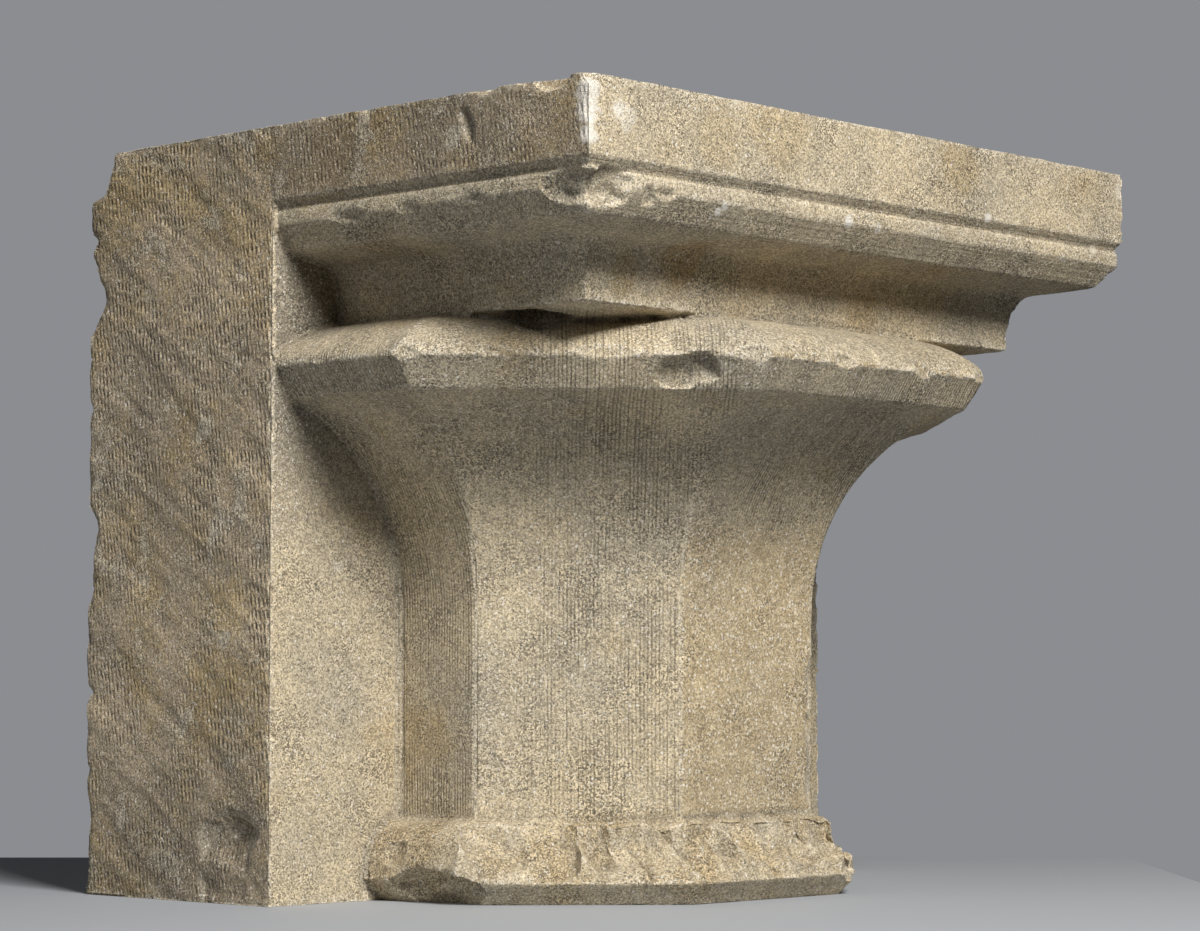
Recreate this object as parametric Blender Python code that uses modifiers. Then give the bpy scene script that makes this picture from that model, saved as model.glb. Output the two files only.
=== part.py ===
"""Engaged stone capital, cut from one block.

A half-octagonal bell with a moulded ring above it and a broken ring at its foot stands
against a plain wall block and carries a square moulded slab. Run it with
    blender --background --python part.py
Lengths are in metres. X runs along the wall, the front faces -Y and Z is up. The origin is
the middle of the bounding box, on the ground.
"""
import math
import random
from dataclasses import dataclass

import bmesh
import bpy
from mathutils import Matrix, Vector, noise

# Driving dimensions. Heights are measured up from the ground, and insets run in from the
# side or the front of the slab.
HEIGHT = 0.400
WIDTH = 0.440
WALL_DEPTH = 0.152
AXIS_OUT = 0.003  # the mouldings' axis stands this far in front of the wall's face

# Square slab, from the top down
FASCIA_HEIGHT = 0.0395
QUIRK_DEPTH = 0.0048
QUIRK_HEIGHT = 0.0058
FILLET_INSET = 0.0018
FILLET_HEIGHT = 0.0070
BEVEL_INSET = 0.0116
BEVEL_HEIGHT = 0.0127
SOFFIT_INSET = 0.0370
SOFFIT_FALL = 0.0050
CAVETTO_DEPTH = 0.0100
CAVETTO_HEIGHT = 0.0310
UNDERCUT_DEPTH = 0.0260
UNDERCUT_FALL = 0.0035

# Octagonal ring under the slab
RING_INSET = 0.0006
CROWN_HEIGHT = 0.0245
CROWN_RISE = 0.0008  # the crown's top lies this far above the slab's foot, and runs into it
CROWN_RUN_IN = 0.0040
CROWN_FULLNESS = 1.66  # 2 makes the crown a quarter ellipse, and less a flatter curve
LIP_DEPTH = 0.0020  # the crown's edge overhangs the band below it
LIP_HEIGHT = 0.0018
RING_HEIGHT = 0.0163
RING_BEVEL = 0.0110

# Bell and neck: the bell is part of a quarter ellipse that springs from the neck
NECK_INSET = 0.0910
NECK_TOP = 0.1500
BELL_SWEEP = math.radians(79.6)

# Ring at the foot
FOOT_HEIGHT = 0.0430
FOOT_INSET = 0.0660
FOOT_ARRIS_HEIGHT = 0.0115
FOOT_BEVEL = 0.0120
WHOLE_FOOT = 0.026  # the ring's two ends keep this length of it without flake scars

# How the solids are put together
JOIN_DEPTH = 0.020  # each moulding reaches this far back into the wall block
JOIN_STEP = 0.0004  # a hidden end stays this far inside its neighbour's edge
WORK_SPACE = 0.300  # the box that trims the mouldings reaches this far past them
CORNER_GAP = 0.00001  # corners closer than this become one
LUMP_ROUGHNESS = 0.14  # share of a lump's size by which its surface is uneven
LARGE_BREAK = 0.025  # a lump with a longer half size than this gets a finer surface

# The limestone
STONE_COLOUR = (0.36, 0.31, 0.235, 1.0)
STONE_ROUGHNESS = 0.92

# Worked out from the dimensions above
HALF = WIDTH / 2
PROJECTION = HALF + AXIS_OUT
BACK_Y = (PROJECTION + WALL_DEPTH) / 2
WALL_Y = BACK_Y - WALL_DEPTH
FRONT_Y = WALL_Y - PROJECTION
AXIS_Y = WALL_Y - AXIS_OUT
FASCIA_Z = HEIGHT - FASCIA_HEIGHT
QUIRK_Z = FASCIA_Z - QUIRK_HEIGHT
FILLET_Z = QUIRK_Z - FILLET_HEIGHT
BEVEL_Z = FILLET_Z - BEVEL_HEIGHT
SOFFIT_Z = BEVEL_Z - SOFFIT_FALL
SLAB_Z = SOFFIT_Z - CAVETTO_HEIGHT
SLAB_FOOT_INSET = SOFFIT_INSET + CAVETTO_DEPTH
CROWN_Z = SLAB_Z + CROWN_RISE
ARRIS_Z = CROWN_Z - CROWN_HEIGHT
RING_Z = ARRIS_Z - RING_HEIGHT
RING_FOOT_INSET = RING_INSET + RING_BEVEL

SQUARE = 4
OCTAGON = 8
LEFT, LEFT_DIAGONAL, FRONT, RIGHT_DIAGONAL, RIGHT = 180, 225, 270, 315, 360


def arc(count, sweep=math.pi / 2):
    """Angles from 0 to sweep in count equal steps."""
    return [sweep * i / count for i in range(count + 1)]


def slab_profile():
    """Inset and height of the slab's mouldings, top to bottom."""
    hidden_top = [(JOIN_STEP, FASCIA_Z + JOIN_STEP)]
    quirk = [(QUIRK_DEPTH, QUIRK_Z), (FILLET_INSET, QUIRK_Z)]
    fillet = [(FILLET_INSET, FILLET_Z), (BEVEL_INSET, BEVEL_Z)]
    cavetto = [(SLAB_FOOT_INSET - CAVETTO_DEPTH * (1 - math.cos(t)),
                SLAB_Z + CAVETTO_HEIGHT * math.sin(t)) for t in reversed(arc(7))]
    undercut = [(SLAB_FOOT_INSET + UNDERCUT_DEPTH, SLAB_Z - UNDERCUT_FALL)]
    return hidden_top + quirk + fillet + cavetto + undercut


def bell_profile():
    """Inset and height of the ring, bell, neck and foot, top to bottom."""
    hidden_top = [(SLAB_FOOT_INSET + CROWN_RUN_IN + JOIN_STEP, CROWN_Z + JOIN_STEP)]
    power = 2 / CROWN_FULLNESS
    run = SLAB_FOOT_INSET + CROWN_RUN_IN - RING_INSET
    crown = [(RING_INSET + run * (1 - max(math.cos(t), 0) ** power),
              ARRIS_Z + CROWN_HEIGHT * math.sin(t) ** power) for t in reversed(arc(8))]
    lip = [(RING_INSET + LIP_DEPTH, ARRIS_Z - LIP_HEIGHT)]
    reach = (NECK_INSET - RING_FOOT_INSET) / (1 - math.cos(BELL_SWEEP))
    rise = (RING_Z - NECK_TOP) / math.sin(BELL_SWEEP)
    bell = [(NECK_INSET - reach * (1 - math.cos(t)), NECK_TOP + rise * math.sin(t))
            for t in reversed(arc(16, BELL_SWEEP))]
    fall = FOOT_HEIGHT - FOOT_ARRIS_HEIGHT
    foot_run = NECK_INSET - FOOT_INSET
    foot = [(FOOT_INSET + foot_run * (1 - math.cos(t)), FOOT_ARRIS_HEIGHT + fall * math.sin(t))
            for t in reversed(arc(5))]
    ground = [(FOOT_INSET + FOOT_BEVEL, 0.0)]
    return hidden_top + crown + lip + bell + foot + ground


def collection(name):
    """A new collection under the scene's own."""
    group = bpy.data.collections.new(name)
    bpy.context.scene.collection.children.link(group)
    return group


def guide(obj):
    """Mark a cutter or a joined shape, which isn't a piece by itself."""
    obj.hide_render = True
    obj.display_type = 'WIRE'
    return obj


def mesh_object(name, bm, group):
    """Make an object from bm, with its faces pointing out."""
    bmesh.ops.recalc_face_normals(bm, faces=bm.faces)
    mesh = bpy.data.meshes.new(name)
    bm.to_mesh(mesh)
    bm.free()
    obj = bpy.data.objects.new(name, mesh)
    group.objects.link(obj)
    return obj


def box(name, low, high, group):
    """A box between two corners."""
    bm = bmesh.new()
    size = Vector(high) - Vector(low)
    place = Matrix.Translation((Vector(high) + Vector(low)) / 2)
    bmesh.ops.create_cube(bm, size=1, matrix=place @ Matrix.Diagonal((*size, 1)))
    return mesh_object(name, bm, group)


def extruded(name, outline, width, group):
    """A prism: a (y, z) outline extruded along X to a width, about the middle."""
    bm = bmesh.new()
    face = bm.faces.new([bm.verts.new((-width / 2, y, z)) for y, z in outline])
    sweep = bmesh.ops.extrude_face_region(bm, geom=[face])
    moved = [v for v in sweep['geom'] if isinstance(v, bmesh.types.BMVert)]
    bmesh.ops.translate(bm, verts=moved, vec=(width, 0, 0))
    return mesh_object(name, bm, group)


def boolean(obj, operation, operand, name):
    """Add an exact Boolean modifier whose operand is an object or a collection."""
    step = obj.modifiers.new(name, 'BOOLEAN')
    step.operation = operation
    step.solver = 'EXACT'
    if isinstance(operand, bpy.types.Collection):
        step.operand_type = 'COLLECTION'
        step.collection = operand
    else:
        step.object = operand


def turned(name, profile, sides, group):
    """Screw a profile of (inset, z) round the mouldings' axis with flat sides."""
    corner = 1 / math.cos(math.pi / sides)
    points = [(0.0, profile[0][1])]
    points += [((HALF - inset) * corner, z) for inset, z in profile]
    points += [(0.0, profile[-1][1])]
    mesh = bpy.data.meshes.new(name)
    mesh.from_pydata([(x, 0, z) for x, z in points], [(i, i + 1) for i in range(len(points) - 1)], [])
    obj = bpy.data.objects.new(name, mesh)
    group.objects.link(obj)
    obj.location = (0, AXIS_Y, 0)
    obj.rotation_euler = (0, 0, math.pi / sides)
    screw = obj.modifiers.new("turn", 'SCREW')
    screw.steps = sides
    screw.render_steps = sides
    screw.use_merge_vertices = True
    screw.merge_threshold = 0.00001
    screw.use_smooth_shade = False
    return guide(obj)


@dataclass
class Break:
    """A lump of stone that has come away.

    at is the point of the surface that the lump is centred on, out the direction that it
    came away in, half its half sizes along, out and up, bite how deep it reaches below at,
    and tilt its turn about out, in degrees.
    """
    name: str
    at: tuple
    out: tuple
    half: tuple
    bite: float
    tilt: float = 0.0
    seed: int = 0


def break_cutter(lost, group):
    """A rough ellipsoid that takes one break out of the stone."""
    out = Vector(lost.out).normalized()
    side = Vector((0, 0, 1)).cross(out).normalized()
    axes = Matrix((side, out, side.cross(out))).transposed().to_4x4()
    spin = Matrix.Rotation(math.radians(lost.tilt), 4, out)
    centre = Vector(lost.at) + out * (lost.half[1] - lost.bite)
    bm = bmesh.new()
    bmesh.ops.create_icosphere(bm, subdivisions=3 if max(lost.half) > LARGE_BREAK else 2, radius=1)
    for vert in bm.verts:
        wobble = noise.noise(vert.co * 1.9 + Vector((lost.seed * 7.3, 0, 0)))
        vert.co *= 1 + 2 * LUMP_ROUGHNESS * wobble
    place = Matrix.Translation(centre) @ spin @ axes @ Matrix.Diagonal((*lost.half, 1))
    bmesh.ops.transform(bm, matrix=place, verts=bm.verts)
    return guide(mesh_object(lost.name, bm, group))


def on_face(angle, inset, along, z):
    """A point of one of the octagon's faces and the face's outward direction."""
    turn = math.radians(angle)
    out = Vector((math.cos(turn), math.sin(turn), 0))
    run = Vector((-out.y, out.x, 0))
    return Vector((0, AXIS_Y, z)) + out * (HALF - inset) + run * along, out


def half_side(inset):
    """Half the length of one of the octagon's faces."""
    return (HALF - inset) * math.tan(math.pi / OCTAGON)


def slab_breaks():
    """The slab's chipped near corner, top edge and fillet."""
    near = (-HALF, FRONT_Y)
    corner_out = (-1, -1, 0.9)
    yield Break("top_corner", (*near, HEIGHT), corner_out, (0.022, 0.014, 0.012), 0.0050, 0, 1)
    yield Break("near_arris", (*near, HEIGHT - 0.018), (-1, -1, 0), (0.006, 0.012, 0.022), 0.0022, 0, 2)
    yield Break("fillet_corner", (*near, FILLET_Z - 0.004), (-0.85, -1, -0.5), (0.042, 0.026, 0.017),
                0.0135, 4, 3)
    for seed, (across, bite, length) in enumerate([(0.023, 0.0062, 0.027), (0.047, 0.0036, 0.008)]):
        at = (-HALF + across, FRONT_Y + FILLET_INSET, FILLET_Z)
        yield Break(f"fillet_near_{seed}", at, (-0.3, -1, -0.8), (length, 0.015, 0.013), bite, 5, 5 + seed)
    yield Break("fillet_near_left", (-HALF + FILLET_INSET, FRONT_Y + 0.019, FILLET_Z), (-1, -0.3, -0.8),
                (0.027, 0.015, 0.013), 0.0058, 0, 9)
    for seed, (back, bite, length) in enumerate([(0.026, 0.0065, 0.016), (0.041, 0.0030, 0.008),
                                                 (0.069, 0.0034, 0.010), (0.153, 0.0026, 0.012)]):
        at = (-HALF, FRONT_Y + back, HEIGHT)
        yield Break(f"top_edge_{seed}", at, (-1, 0, 1), (length, 0.011, 0.010), bite, 0, 10 + seed)
    for seed, (back, length) in enumerate([(0.080, 0.020), (0.125, 0.014), (0.172, 0.024)]):
        at = (-HALF + FILLET_INSET, FRONT_Y + back, FILLET_Z)
        yield Break(f"fillet_left_{seed}", at, (-1, 0, -0.4), (length, 0.008, 0.006), 0.0024, 0,
                    20 + seed)
    yield Break("fillet_front", (-HALF + 0.056, FRONT_Y + FILLET_INSET, FILLET_Z), (0, -1, -0.4),
                (0.009, 0.008, 0.006), 0.0028, 0, 30)
    yield Break("gouge", (-HALF, FRONT_Y + 0.082, HEIGHT - 0.016), (-1, 0, 0), (0.004, 0.006, 0.012),
                0.0030, 20, 31)
    yield Break("far_corner", (HALF, FRONT_Y, BEVEL_Z + 0.005), (1, -1, -0.6), (0.012, 0.012, 0.014),
                0.0040, 0, 32)


def ring_breaks():
    """The gouge low on the ring's near face, a scar on its crown and the nibbled arris."""
    at, out = on_face(LEFT_DIAGONAL, RING_INSET + 0.024, -0.021, SLAB_Z - 0.006)
    yield Break("crown_scar", at, out + Vector((0, 0, 1.6)), (0.018, 0.010, 0.012), 0.0036, -20, 48)
    for seed, (along, up, length, bite, tilt) in enumerate([(0.048, 0.003, 0.0135, 0.0048, 0),
                                                            (0.059, 0.0048, 0.0100, 0.0036, -12)]):
        at, out = on_face(LEFT_DIAGONAL, RING_FOOT_INSET - 0.004, along, RING_Z + up)
        yield Break(f"ring_gouge_{seed}", at, out + Vector((0, 0, 1.1)), (length, 0.010, 0.008), bite,
                    tilt, 40 + seed)
    corner = half_side(RING_INSET)
    nibbles = [(LEFT_DIAGONAL, -corner, 0.013, 0.0034), (LEFT_DIAGONAL, -0.040, 0.020, 0.0022),
               (LEFT_DIAGONAL, 0.010, 0.022, 0.0024), (LEFT_DIAGONAL, corner, 0.022, 0.0036),
               (FRONT, -0.025, 0.016, 0.0022), (FRONT, 0.041, 0.017, 0.0030),
               (FRONT, corner, 0.012, 0.0030), (LEFT, 0.030, 0.018, 0.0016),
               (RIGHT_DIAGONAL, 0.020, 0.024, 0.0026), (RIGHT, -0.040, 0.020, 0.0020)]
    for seed, (angle, along, length, bite) in enumerate(nibbles):
        at, out = on_face(angle, RING_INSET, along, ARRIS_Z)
        yield Break(f"ring_arris_{seed}", at, out + Vector((0, 0, 0.5)), (length, 0.010, 0.008), bite,
                    0, 50 + seed)


def neck_breaks():
    """The chipped arris between the front of the neck and its right diagonal."""
    for seed, share in enumerate([0.75, 0.56, 0.40]):
        at, out = on_face(FRONT, NECK_INSET, half_side(NECK_INSET), share * NECK_TOP)
        yield Break(f"neck_arris_{seed}", at, out + Vector((0.45, 0, 0)), (0.010, 0.008, 0.020),
                    0.0034, 6 - 5 * seed, 70 + seed)


def foot_breaks():
    """Flake scars along the ring at the foot, slanting down to the right, and its lost corners."""
    draw = random.Random(5)
    reach = half_side(FOOT_INSET)
    fall = FOOT_HEIGHT - FOOT_ARRIS_HEIGHT
    for angle in (LEFT_DIAGONAL, FRONT, RIGHT_DIAGONAL, RIGHT):
        along = WHOLE_FOOT - reach if angle == LEFT_DIAGONAL else -reach
        last = -WHOLE_FOOT if angle == RIGHT else reach
        count = 0
        while along < last:
            width = draw.uniform(0.017, 0.030)
            at, out = on_face(angle, FOOT_INSET + 0.22 * fall, along, FOOT_ARRIS_HEIGHT + 0.50 * fall)
            half = (width, 0.024, draw.uniform(0.026, 0.034))
            lean = Vector((out.y, -out.x, 0)) * 0.35 + Vector((0, 0, 0.95))
            yield Break(f"foot_flake_{angle}_{count}", at, out + lean, half,
                        draw.uniform(0.0036, 0.0066), draw.uniform(24, 44), draw.randrange(1000))
            along += width * draw.uniform(0.85, 1.2)
            count += 1
    at, out = on_face(LEFT, FOOT_INSET, 0.6 * reach, 0.003)
    yield Break("foot_corner", at, (-1, -0.42, 0.1), (0.044, 0.022, 0.0145), 0.0170, 0, 90)
    at, out = on_face(FRONT, FOOT_INSET, reach, FOOT_ARRIS_HEIGHT)
    yield Break("foot_far_corner", at, (0.5, -1, 0.25), (0.026, 0.016, 0.020), 0.0085, 10, 92)
    at, out = on_face(LEFT, FOOT_INSET, 0.014, 0.026)
    yield Break("foot_end", at, out + Vector((0, 0, 0.6)), (0.015, 0.012, 0.012), 0.0060, 0, 91)


def wall_breaks():
    """Bites out of the block's two rear arrises, and the scoop low on its left face."""
    draw = random.Random(11)
    deep = {1.000: 0.0200, 0.815: 0.0120, 0.470: 0.0075, 0.100: 0.0050}
    for side in (-1, 1):
        for share, bite in deep.items():
            yield Break(f"rear_bite_{side}_{round(share * 1000)}", (side * HALF, BACK_Y, share * HEIGHT),
                        (side * 0.5, 1, 0), (0.024, 0.030, 0.034), bite, draw.uniform(-14, 14),
                        draw.randrange(1000))
        z = HEIGHT
        while z > 0:
            half_height = draw.uniform(0.011, 0.024)
            yield Break(f"rear_arris_{side}_{round(z * 1000)}", (side * HALF, BACK_Y, z),
                        (side * 0.5, 1, 0), (0.020, 0.026, half_height), draw.uniform(0.0022, 0.0062),
                        draw.uniform(-20, 20), draw.randrange(1000))
            z -= half_height * draw.uniform(1.2, 2.0)
    for seed, share in enumerate([0.81, 0.61, 0.37, 0.19]):
        yield Break(f"front_arris_{seed}", (-HALF, WALL_Y, share * HEIGHT), (-1, -1, 0),
                    (0.006, 0.007, 0.011), 0.0016, 0, 100 + seed)
    yield Break("left_scoop", (-HALF, WALL_Y + 0.034, 0.028), (-1, 0.08, 0.05), (0.044, 0.030, 0.044),
                0.0050, -10, 112)


def stone_material():
    """Warm grey limestone."""
    material = bpy.data.materials.new("limestone")
    material.use_nodes = True
    shader = material.node_tree.nodes["Principled BSDF"]
    shader.inputs["Base Color"].default_value = STONE_COLOUR
    shader.inputs["Roughness"].default_value = STONE_ROUGHNESS
    shader.inputs["Metallic"].default_value = 0.0
    return material


def engaged_capital(piece_group, cutter_group, break_group):
    """The one carved stone: wall block and fascia, joined by the mouldings, less its breaks."""
    outline = [(BACK_Y, 0), (BACK_Y, HEIGHT), (FRONT_Y, HEIGHT), (FRONT_Y, FASCIA_Z),
               (WALL_Y, FASCIA_Z), (WALL_Y, 0)]
    stone = extruded("engaged_capital", outline, WIDTH, piece_group)
    stone.data.materials.append(stone_material())

    join_y = WALL_Y + JOIN_DEPTH
    behind = guide(box("behind_wall_face", (-WORK_SPACE, join_y, -WORK_SPACE),
                       (WORK_SPACE, join_y + 2 * WORK_SPACE, HEIGHT + WORK_SPACE), cutter_group))
    slab = turned("slab_mouldings", slab_profile(), SQUARE, cutter_group)
    bell = turned("ring_bell_and_foot", bell_profile(), OCTAGON, cutter_group)
    for moulding in (slab, bell):
        boolean(moulding, 'DIFFERENCE', behind, "trim behind the wall's face")
    boolean(stone, 'UNION', slab, "join the slab's mouldings")
    boolean(stone, 'UNION', bell, "join the bell")

    for family in (slab_breaks, ring_breaks, neck_breaks, foot_breaks, wall_breaks):
        for lost in family():
            break_cutter(lost, break_group)
    boolean(stone, 'DIFFERENCE', break_group, "take the breaks away")
    weld = stone.modifiers.new("merge corners that nearly touch", 'WELD')
    weld.merge_threshold = CORNER_GAP
    return stone


def main():
    for obj in list(bpy.data.objects):
        bpy.data.objects.remove(obj, do_unlink=True)
    engaged_capital(collection("engaged capital"), collection("cutters"), collection("breaks"))


main()
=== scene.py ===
"""Engaged stone capital: the weathered stone, its limestone finish and a plain studio.

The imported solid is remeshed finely, its arrises are worn, its faces get the furrows, scars
and unevenness of the real stone, and one procedural limestone covers it all. Lengths are in
metres. X runs along the wall, the front faces -Y and Z is up.
"""
import math
from types import SimpleNamespace

import bmesh
import bpy
from bpy.props import FloatProperty, FloatVectorProperty, IntProperty, PointerProperty
from mathutils import Matrix, Vector


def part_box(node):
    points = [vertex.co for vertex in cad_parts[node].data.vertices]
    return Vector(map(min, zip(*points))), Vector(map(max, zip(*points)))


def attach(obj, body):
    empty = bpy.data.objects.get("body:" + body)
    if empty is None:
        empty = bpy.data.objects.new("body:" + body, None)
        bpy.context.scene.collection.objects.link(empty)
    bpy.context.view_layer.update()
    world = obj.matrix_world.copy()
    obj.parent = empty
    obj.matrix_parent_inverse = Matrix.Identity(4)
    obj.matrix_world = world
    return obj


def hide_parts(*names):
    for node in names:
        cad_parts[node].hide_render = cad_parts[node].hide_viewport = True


bl_info = {
    "name": "Engaged stone capital",
    "version": (1, 0, 0),
    "blender": (4, 5, 0),
    "location": "View3D > Sidebar > Stone capital",
    "description": "Weathers and finishes the carved stone and sets up its studio",
    "category": "Object",
}

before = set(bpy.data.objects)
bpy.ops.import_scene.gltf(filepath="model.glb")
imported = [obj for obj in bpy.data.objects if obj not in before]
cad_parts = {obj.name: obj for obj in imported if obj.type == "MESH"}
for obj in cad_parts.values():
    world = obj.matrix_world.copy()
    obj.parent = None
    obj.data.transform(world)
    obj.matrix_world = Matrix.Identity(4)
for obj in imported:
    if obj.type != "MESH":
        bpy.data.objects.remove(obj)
NODE = "engaged_capital"
LOW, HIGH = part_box(NODE)

# Where the stone's parts lie
WALL_Y = 0.0355  # the flat wall face
AXIS_Y = 0.0325  # the axis of the mouldings
FASCIA_Z = 0.3605  # lower edge of the slab's fascia
SLAB_Z = 0.299  # the slab's foot, where the ring's crown ends
BAND_LOW_Z, BAND_TOP_Z = 0.259, 0.2753  # the ring's upright band
FOOT_Z = 0.043  # top of the foot ring
FOOT_ARRIS_Z = 0.0115  # top of the foot ring's upright lower band
EIGHTH = math.pi / 4  # the turn from one face of the octagon to the next


class Field:
    """A value that varies over the stone. Sums and products of fields become Math nodes."""

    def __init__(self, wiring, socket):
        self.wiring = wiring
        self.socket = socket

    def __add__(self, other):
        return self.wiring.math('ADD', self, other)

    def __sub__(self, other):
        return self.wiring.math('SUBTRACT', self, other)

    def __rsub__(self, other):
        return self.wiring.math('SUBTRACT', other, self)

    def __mul__(self, other):
        return self.wiring.math('MULTIPLY', self, other)

    def __truediv__(self, other):
        return self.wiring.math('DIVIDE', self, other)

    def __neg__(self):
        return self.wiring.math('MULTIPLY', self, -1.0)

    def __abs__(self):
        return self.wiring.math('ABSOLUTE', self)

    __radd__ = __add__
    __rmul__ = __mul__


class Wiring:
    """Adds nodes to a tree and joins them, so that a rule reads as a formula."""

    # How the nodes lie in the editor
    COLUMN = 190
    ROW = 260
    ROWS = 12

    def __init__(self, tree):
        self.tree = tree
        tree.nodes.clear()

    @staticmethod
    def pick(sockets, key):
        """The enabled socket of that name or number."""
        live = [s for s in sockets if s.enabled]
        if isinstance(key, int):
            return live[key]
        return next(s for s in live if s.name == key)

    def fill(self, socket, value):
        """Link a field to the socket, or give the socket a fixed value."""
        if isinstance(value, Field):
            self.tree.links.new(value.socket, socket)
        else:
            socket.default_value = value

    def add(self, kind, inputs, **settings):
        """Add a node, set it up and fill its inputs."""
        node = self.tree.nodes.new(kind)
        count = len(self.tree.nodes) - 1
        node.location = (count // self.ROWS * self.COLUMN, -(count % self.ROWS) * self.ROW)
        for key, value in settings.items():
            setattr(node, key, value)
        for key, value in inputs.items():
            self.fill(self.pick(node.inputs, key), value)
        return node

    def get(self, kind, inputs, out=0, **settings):
        """Add a node and give one of its outputs."""
        node = self.add(kind, inputs, **settings)
        return Field(self, self.pick(node.outputs, out))

    def math(self, operation, *values):
        return self.get('ShaderNodeMath', dict(enumerate(values)), operation=operation)

    def most(self, a, b):
        return self.math('MAXIMUM', a, b)

    def least(self, a, b):
        return self.math('MINIMUM', a, b)

    def vector(self, operation, *values):
        """A vector operation that gives a vector."""
        inputs = dict(enumerate(values))
        if operation == 'SCALE':
            inputs = {"Vector": values[0], "Scale": values[1]}
        return self.get('ShaderNodeVectorMath', inputs, operation=operation)

    def measure(self, operation, a, b):
        """A vector operation that gives a number."""
        return self.get('ShaderNodeVectorMath', {0: a, 1: b}, "Value", operation=operation)

    def combine(self, x, y, z):
        return self.get('ShaderNodeCombineXYZ', {"X": x, "Y": y, "Z": z})

    def split(self, vector):
        """The three numbers of a vector."""
        node = self.add('ShaderNodeSeparateXYZ', {"Vector": vector})
        return [Field(self, s) for s in node.outputs]

    def ramp(self, value, low, high, start=0.0, end=1.0):
        """A smooth step from start at low to end at high."""
        inputs = {"Value": value, "From Min": low, "From Max": high,
                  "To Min": start, "To Max": end}
        return self.get('ShaderNodeMapRange', inputs, interpolation_type='SMOOTHSTEP')

    def noise(self, where, scale, detail=2.0, roughness=0.5, distortion=0.0):
        inputs = {"Vector": where, "Scale": scale, "Detail": detail, "Roughness": roughness,
                  "Distortion": distortion}
        return self.get('ShaderNodeTexNoise', inputs)

    def cells(self, where, scale):
        """Voronoi cells: the distance from each one's middle, and its random colour."""
        node = self.add('ShaderNodeTexVoronoi', {"Vector": where, "Scale": scale})
        return [Field(self, self.pick(node.outputs, name)) for name in ("Distance", "Color")]

    def random(self, number):
        """A random value for each whole number."""
        return self.get('ShaderNodeTexWhiteNoise', {"W": number}, noise_dimensions='1D')

    def mix(self, share, a, b, kind='RGBA'):
        return self.get('ShaderNodeMix', {0: share, "A": a, "B": b}, data_type=kind)


# Relief of the stone, as Geometry Nodes

RELIEF_INPUTS = [
    ("Geometry", 'NodeSocketGeometry'),
    ("Arris wear", 'NodeSocketFloat'),
    ("Chip wear", 'NodeSocketFloat'),
    ("Unevenness", 'NodeSocketFloat'),
    ("Furrow depth", 'NodeSocketFloat'),
    ("Furrow pitch", 'NodeSocketFloat'),
    ("Break roughness", 'NodeSocketFloat'),
    ("Flake step", 'NodeSocketFloat'),
    ("Seed", 'NodeSocketFloat'),
    ("Lowest corner", 'NodeSocketVector'),
    ("Highest corner", 'NodeSocketVector'),
    ("Limestone", 'NodeSocketMaterial'),
]

# Wear: how many rounds of averaging cut an arris lightly or deeply, and waves per metre
LIGHT_CUT, DEEP_CUT = 3, 14
WEAR_WAVES = 55.0
CHIP_WAVES = 150.0
REAR_CHIPS = 0.040  # all arrises this near the back are cut deeply

# Dressed faces: waves per metre of their hollows and ripples, and the furrows' lie
SWELL_WAVES = 20.0
RIPPLE_WAVES = 95.0
FURROW_SLOPE = math.radians(34)  # the furrows of the sides fall this much towards the front
FURROW_STRETCH = 0.16  # a furrow's width over its length
BACK_SPREAD = 1.5  # the back's furrows lie this many times as far apart

# Breaks: waves and cells per metre, and how far the cells' edges stray
CRAG_WAVES = 48.0
FACET_CELLS = 105.0
FACET_STRAY_WAVES = 60.0
FACET_STRAY = 0.006

# The flake scars round the foot, as lobes that overlap to the right
FOOT_RADIUS = 0.160
LOBE_PITCH = 0.026
LOBE_BOW = 0.026  # the lobes' steps lean this far to the right on their way down
LOBE_WARP = 0.014
LOBE_WARP_WAVES = 30.0
LOBES_START, LOBES_FULL = math.radians(-152), math.radians(-132)


def stored(w, geometry, name, value):
    """The geometry with one more value kept at each of its points."""
    inputs = {"Geometry": geometry, "Name": name, "Value": value}
    return w.get('GeometryNodeStoreNamedAttribute', inputs, data_type='FLOAT', domain='POINT')


def blurred(w, value, iterations):
    """A vector field averaged over its neighbours."""
    return w.get('GeometryNodeBlurAttribute', {"Value": value, "Iterations": iterations},
                 data_type='FLOAT_VECTOR')


def seeded_place(w, place, seed):
    """The place as the patterns read it, moved elsewhere by each seed."""
    return w.vector('ADD', place, w.combine(seed * 1.7, seed * 2.3, seed * 0.9))


def furrows(w, across, along, pitch):
    """Shallow furrows, 0 on their ridges and 1 at their beds, long and uneven."""
    stretched = w.combine(across / pitch, along / pitch * FURROW_STRETCH, 0.0)
    return w.ramp(w.noise(stretched, 1.0, 2.0, 0.55), 0.32, 0.66)


def flake_lobes(w, x, y, z, warp):
    """Overlapping lobes round the foot, deepest right of each step, with a painted shadow line at
    each step and a tint.
    """
    turn = w.math('ARCTAN2', y - AXIS_Y, x)
    share = w.most(w.least((z - FOOT_ARRIS_Z) / (FOOT_Z - FOOT_ARRIS_Z), 1.0), 0.0)
    bow = 1.0 - share * (share * 0.45 + 0.55)
    steps = (turn * FOOT_RADIUS - bow * LOBE_BOW + (warp - 0.5) * LOBE_WARP) / LOBE_PITCH
    depth = w.random(w.math('FLOOR', steps))
    along = w.math('FRACT', steps)
    right = w.ramp(turn, LOBES_START, LOBES_FULL)
    lobe = w.math('POWER', 1.0 - along, 1.3) * w.ramp(along, 0.0, 0.08)
    lobe = lobe * (depth * 0.5 + 0.5) * right
    crack = w.ramp(along, 0.0, 0.03) * w.ramp(along, 0.05, 0.13, 1.0, 0.0) * right
    tint = (depth * 0.5 + (1.0 - along) * 0.5) * right
    return lobe, crack * w.ramp(depth, 0.1, 0.6, 0.6, 1.0), tint


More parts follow.
